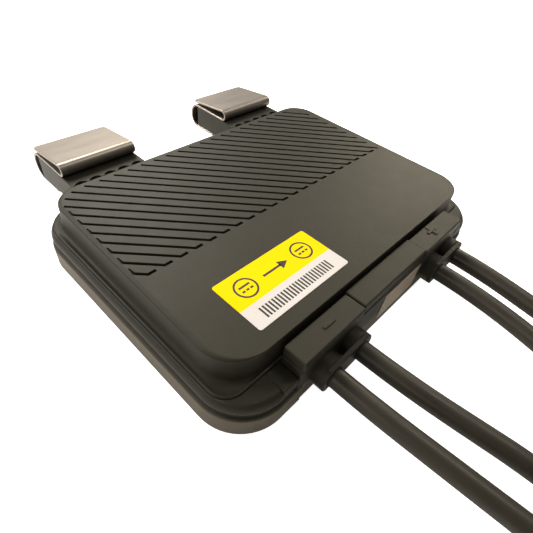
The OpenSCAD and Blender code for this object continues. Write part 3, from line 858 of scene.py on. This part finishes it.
def sweep_round(points, radius, n=28):
    """A closed round tube through 3-D points."""
    rings = []
    count = len(points)
    for i, p in enumerate(points):
        d = (points[min(i + 1, count - 1)] - points[max(i - 1, 0)]).normalized()
        side = Vector((0, 0, 1)).cross(d).normalized()
        over = d.cross(side)
        rings.append([tuple(p + (side * math.cos(t) + over * math.sin(t)) * radius) for t in angles(n)])
    return skin(rings)


def make_cables():
    cores = []
    for node, (x, legs) in RUNS.items():
        run = plan_run(x, legs)
        total = run[-1][1]
        pts = [Vector((p.x, p.y, AXIS_Z - sag(s, total))) for p, s in run]
        obj = add_piece(node.replace("cable", "jacket"), *sweep_round(pts, CABLE_R), "cable_jacket")
        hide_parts(node)
        run = plan_run(x, legs, CORE_HEAD, CORE_TAIL)
        pts = [Vector((p.x, p.y, AXIS_Z - sag(s - CORE_HEAD, total))) for p, s in run]
        cores.append(sweep_round(pts, CORE_R, 16))
    obj = add_piece("cable_cores", *merge(*cores), "copper")
    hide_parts("copper_cores")


# ---------------------------------------------------------------- labels
# Middle and half sizes of the product label, its faces, corner radius and the line between its colours
LABEL_X, LABEL_Y, LABEL_HALF_X, LABEL_HALF_Y = -29.65, -29.35, 20.0, 10.0
LABEL_Z = (22.91, 23.05)
LABEL_R, SPLIT = 0.8, -2.0
# Printed shapes, measured from the middle of the label
INK_Z = (LABEL_Z[1] - 0.05, LABEL_Z[1] + 0.015)
TICKS, TICK_START, TICK_PITCH, TICK_WIDTH, TICK_Y = 24, -15.2, 1.27, 0.65, (-8.2, -4.2)
SYMBOL_X, SYMBOL_Y, SYMBOL_R, SYMBOL_LINE, SYMBOL_SIDES = 12.3, 3.6, 3.9, 0.65, 40
SOLID_BAR, DASH_Y, DASH_LENGTH, DASH_PITCH = (-2.1, 2.1, 4.1, 4.8), (2.4, 3.1), 1.1, 1.55
ARROW_SHAFT = (-5.2, 2.4, 3.1, 3.9)
ARROW_HEAD = ((2.0, 1.7), (5.4, 3.5), (2.0, 5.3))

# Foil label on the front wall, with rows of faded ticks: x, y and z from and to
FOIL = ((-5.5, 17.9), (-53.56, -53.41), (4.0, 15.3))
FOIL_ROWS, FOIL_COLUMNS = 4, 13
FOIL_START, FOIL_PITCH, FOIL_TICK = (-4.2, 5.6), (1.65, 2.35), (1.1, 0.75)
FOIL_INK_Y = (FOIL[1][0] - 0.012, FOIL[1][0] + 0.05)


def plate_poly(points, z0, z1):
    """A flat prism from a plan polygon."""
    return skin([[(x, y, z0) for x, y in points], [(x, y, z1) for x, y in points]])


def bar(x0, x1, y0, y1):
    return [(x0, y0), (x1, y0), (x1, y1), (x0, y1)]


def moved(shape, dx, dy):
    return [(x + dx, y + dy) for x, y in shape]


def layers(parts):
    """Joins meshes that each carry a material number."""
    verts, faces = merge(*(mesh for mesh, _ in parts))
    mats = [m for (_, f), m in parts for _ in f]
    return verts, faces, mats


def direct_current_symbol():
    """A circle round a solid bar over three dashes."""
    shapes = [bar(*SOLID_BAR)]
    for k in range(3):
        u = SOLID_BAR[0] + k * DASH_PITCH
        shapes.append(bar(u, u + DASH_LENGTH, *DASH_Y))
    outer = arc(0, SYMBOL_Y, SYMBOL_R, 0, 360, SYMBOL_SIDES)
    inner = arc(0, SYMBOL_Y, SYMBOL_R - SYMBOL_LINE, 0, 360, SYMBOL_SIDES)
    for k in range(SYMBOL_SIDES):
        shapes.append([outer[k], outer[k + 1], inner[k + 1], inner[k]])
    return shapes


def label_half():
    """Front part of the label: a strip with two round corners, up to the line between the colours."""
    hx, hy, r = LABEL_HALF_X, LABEL_HALF_Y, LABEL_R
    corners = arc(r - hx, r - hy, r, 180, 270, 6) + arc(hx - r, r - hy, r, 270, 360, 6)
    return [(-hx, SPLIT), *corners, (hx, SPLIT)]


def make_label():
    front = label_half()
    rear = [(x, -y) for x, y in front]
    rear[0] = (-LABEL_HALF_X, SPLIT)
    rear[-1] = (LABEL_HALF_X, SPLIT)
    ticks = [TICK_START + TICK_PITCH * k for k in range(TICKS)]
    shapes = [bar(u, u + TICK_WIDTH, *TICK_Y) for u in ticks]
    shapes += [bar(*ARROW_SHAFT), ARROW_HEAD]
    for sx in (-SYMBOL_X, SYMBOL_X):
        shapes += [moved(shape, sx, 0) for shape in direct_current_symbol()]
    prints = [(front, LABEL_Z, 1), (rear, LABEL_Z, 0)] + [(shape, INK_Z, 2) for shape in shapes]
    parts = [(plate_poly(moved(shape, LABEL_X, LABEL_Y), *z), look) for shape, z, look in prints]
    verts, faces, face_mats = layers(parts)
    more = [LABEL_WHITE, LABEL_INK]
    obj = add_piece("printed_label", verts, faces, "label_yellow", more_looks=more, face_mats=face_mats)
    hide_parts("product_label")


def make_rating():
    lo, hi = zip(*FOIL)
    parts = [(box_mesh(lo, hi, 0.05, 1), 0)]
    (x0, z0), (dx, dz), (wide, tall) = FOIL_START, FOIL_PITCH, FOIL_TICK
    for row in range(FOIL_ROWS):
        for k in range(FOIL_COLUMNS):
            x, z = x0 + dx * k, z0 + dz * row
            tick = box_mesh((x, FOIL_INK_Y[0], z), (x + wide, FOIL_INK_Y[1], z + tall))
            parts.append((tick, 1))
    verts, faces, face_mats = layers(parts)
    more = [FADED_INK]
    obj = add_piece("foil_label", verts, faces, "label_silver", more_looks=more, face_mats=face_mats)
    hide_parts("rating_label")


make_cover()
make_tray()
make_caps()
make_plates()
make_clip("left")
make_clip("right")
make_cables()
make_label()
make_rating()

# ---------------------------------------------------------------- small parts keep their own mesh
# Bevel width in millimetres that softens each one's edges
SOFT = {
    "plug_housings": 0.3,
    "socket_housings": 0.3,
    "cap_nut_input_negative": 0.22,
    "cap_nut_output_negative": 0.22,
    "cap_nut_input_positive": 0.22,
    "cap_nut_output_positive": 0.22,
    "plug_pins": 0.2,
    "socket_contacts": 0.15,
    "terminal_barrels": 0.12,
    "inductor_core": 0.3,
    "inductor_winding": 0.4,
    "input_capacitors": 0.35,
    "output_capacitors": 0.35,
    "power_transistors": 0.12,
    "bypass_diode": 0.2,
    "controller_chip": 0.12,
    "radio_shield": 0.15,
    "circuit_board": 0.08,
    "board_screws": 0.25,
    "heat_spreader": 0.1,
    "thermal_pad": 0.15,
    "cable_grommets": 0.2,
    "cover_gasket": 0.12,
    "connector_seals": 0.15,
    "strain_collets": 0.1,
}
WELD_GAP, FLAT_ANGLE, BEVEL_ANGLE = 0.00001, 1, 40


def soften(obj, width):
    mod = obj.modifiers.new("weld", "WELD")
    mod.merge_threshold = WELD_GAP
    mod = obj.modifiers.new("flats", "DECIMATE")
    mod.decimate_type = "DISSOLVE"
    mod.angle_limit = math.radians(FLAT_ANGLE)
    mod = obj.modifiers.new("bevel", "BEVEL")
    mod.width = width * MM
    mod.segments = 2
    mod.limit_method = "ANGLE"
    mod.angle_limit = math.radians(BEVEL_ANGLE)
    mod.harden_normals = False


for node, width in SOFT.items():
    soften(frame["nodes"][node], width)

# ---------------------------------------------------------------- camera, light, floor
CAM_POS = Vector((-100.2, -78.63, 110.32)) * MM
CAM_AZ, CAM_EL, CAM_ROLL = (math.radians(v) for v in (-51.44, 44.68, 7.74))
CAM_LENS, CAM_SENSOR = 27.467, 36
# The surround is bright toward this direction and dim on the other side
BRIGHT_WAY = Vector((0.62, 0.62, 0.48)).normalized()
SKY_DIM, SKY_BRIGHT, SKY_RANGE = 0.14, 0.5, (-0.2, 1.0)
# The floor's glow on the part, from in front of it to behind it; the camera sees an even white
FLOOR_NEAR, FLOOR_FAR, FLOOR_RANGE = 0.08, 0.75, (-0.06, 0.14)
FLOOR_SEEN = 0.93
FLOOR_REACH, FLOOR_Z = 4.0, -0.0006
# Soft disks, as (azimuth, elevation, distance, size, energy, colour)
LIGHTS = {
    "key": (14, 28, 1.1, 0.45, 4.3, (1.0, 0.9, 0.7)),
    "rear": (70, 41, 1.1, 0.5, 8.8, (1.0, 0.95, 0.87)),
    "rim_left": (122, 38, 1.0, 0.3, 6.0, (1.0, 0.95, 0.96)),
    "fill_left": (172, 24, 1.2, 0.6, 2.8, (1.0, 0.95, 0.87)),
    "rim_front": (-24, 60, 1.0, 0.25, 2.0, (1.0, 0.95, 0.86)),
}


def make_camera():
    data = bpy.data.cameras.new("camera")
    data.sensor_width = CAM_SENSOR
    data.lens = CAM_LENS
    data.clip_start = 0.005
    cam = bpy.data.objects.new("camera", data)
    scene.collection.objects.link(cam)
    level = Vector((math.cos(CAM_AZ), math.sin(CAM_AZ), 0))
    flat = Vector((math.sin(CAM_AZ), -math.cos(CAM_AZ), 0))
    back = flat * math.cos(CAM_EL) + Vector((0, 0, math.sin(CAM_EL)))
    upright = back.cross(level)
    right = level * math.cos(CAM_ROLL) + upright * math.sin(CAM_ROLL)
    up = upright * math.cos(CAM_ROLL) - level * math.sin(CAM_ROLL)
    turn = Matrix((right, up, back)).transposed()
    cam.matrix_world = Matrix.Translation(CAM_POS) @ turn.to_4x4()
    scene.camera = cam


def camera_switch(nt, seen, lit):
    """A number that is `seen` for camera rays; every other ray gets the value of the socket `lit`."""
    path = nt.nodes.new("ShaderNodeLightPath")
    node = nt.nodes.new("ShaderNodeMix")
    nt.links.new(path.outputs["Is Camera Ray"], node.inputs["Factor"])
    nt.links.new(lit, node.inputs["A"])
    node.inputs["B"].default_value = seen
    return node.outputs["Result"]


def make_surround():
    """Studio surround: dim behind the camera, bright toward the rear right, plain white to the camera."""
    world = bpy.data.worlds.new("studio")
    scene.world = world
    scene.view_settings.view_transform = "Standard"
    world.use_nodes = True
    nt = world.node_tree
    sky = nt.nodes["Background"]
    direction = nt.nodes.new("ShaderNodeTexCoord").outputs["Generated"]
    dot = nt.nodes.new("ShaderNodeVectorMath")
    dot.operation = "DOT_PRODUCT"
    dot.inputs[1].default_value = BRIGHT_WAY
    nt.links.new(direction, dot.inputs[0])
    glow = remap(nt, dot.outputs["Value"], SKY_DIM, SKY_BRIGHT, *SKY_RANGE)
    nt.links.new(camera_switch(nt, 1.0, glow), sky.inputs["Strength"])
    sky.inputs["Color"].default_value = (1.0, 1.0, 1.0, 1)


def add_light(name, azimuth, elevation, distance, size, energy, color):
    """A soft disk aimed at the part; azimuth runs from +X toward +Y."""
    a, e = math.radians(azimuth), math.radians(elevation)
    way = Vector((math.cos(a) * math.cos(e), math.sin(a) * math.cos(e), math.sin(e)))
    data = bpy.data.lights.new(name, "AREA")
    data.shape = "DISK"
    data.size = size
    data.energy = energy
    data.color = color
    obj = bpy.data.objects.new(name, data)
    obj.location = way * distance
    obj.rotation_euler = way.to_track_quat("Z", "Y").to_euler()
    scene.collection.objects.link(obj)


def make_floor():
    mesh = bpy.data.meshes.new("floor")
    corners = [(x, y, FLOOR_Z) for x, y in bar(-FLOOR_REACH, FLOOR_REACH, -FLOOR_REACH, FLOOR_REACH)]
    mesh.from_pydata(corners, [], [(0, 1, 2, 3)])
    floor = bpy.data.objects.new("floor", mesh)
    scene.collection.objects.link(floor)
    mat, nt, bsdf = node_tree("floor_white")
    bsdf.inputs["Base Color"].default_value = (0.9, 0.88, 0.85, 1)
    bsdf.inputs["Roughness"].default_value = 0.8
    bsdf.inputs["Emission Color"].default_value = (1, 1, 1, 1)
    depth = part_of(nt, nt.nodes.new("ShaderNodeTexCoord").outputs["Object"], "Y")
    glow = remap(nt, depth, FLOOR_NEAR, FLOOR_FAR, *FLOOR_RANGE)
    nt.links.new(camera_switch(nt, FLOOR_SEEN, glow), bsdf.inputs["Emission Strength"])
    mesh.materials.append(mat)


make_camera()
make_surround()
for name, light in LIGHTS.items():
    add_light(name, *light)
make_floor()
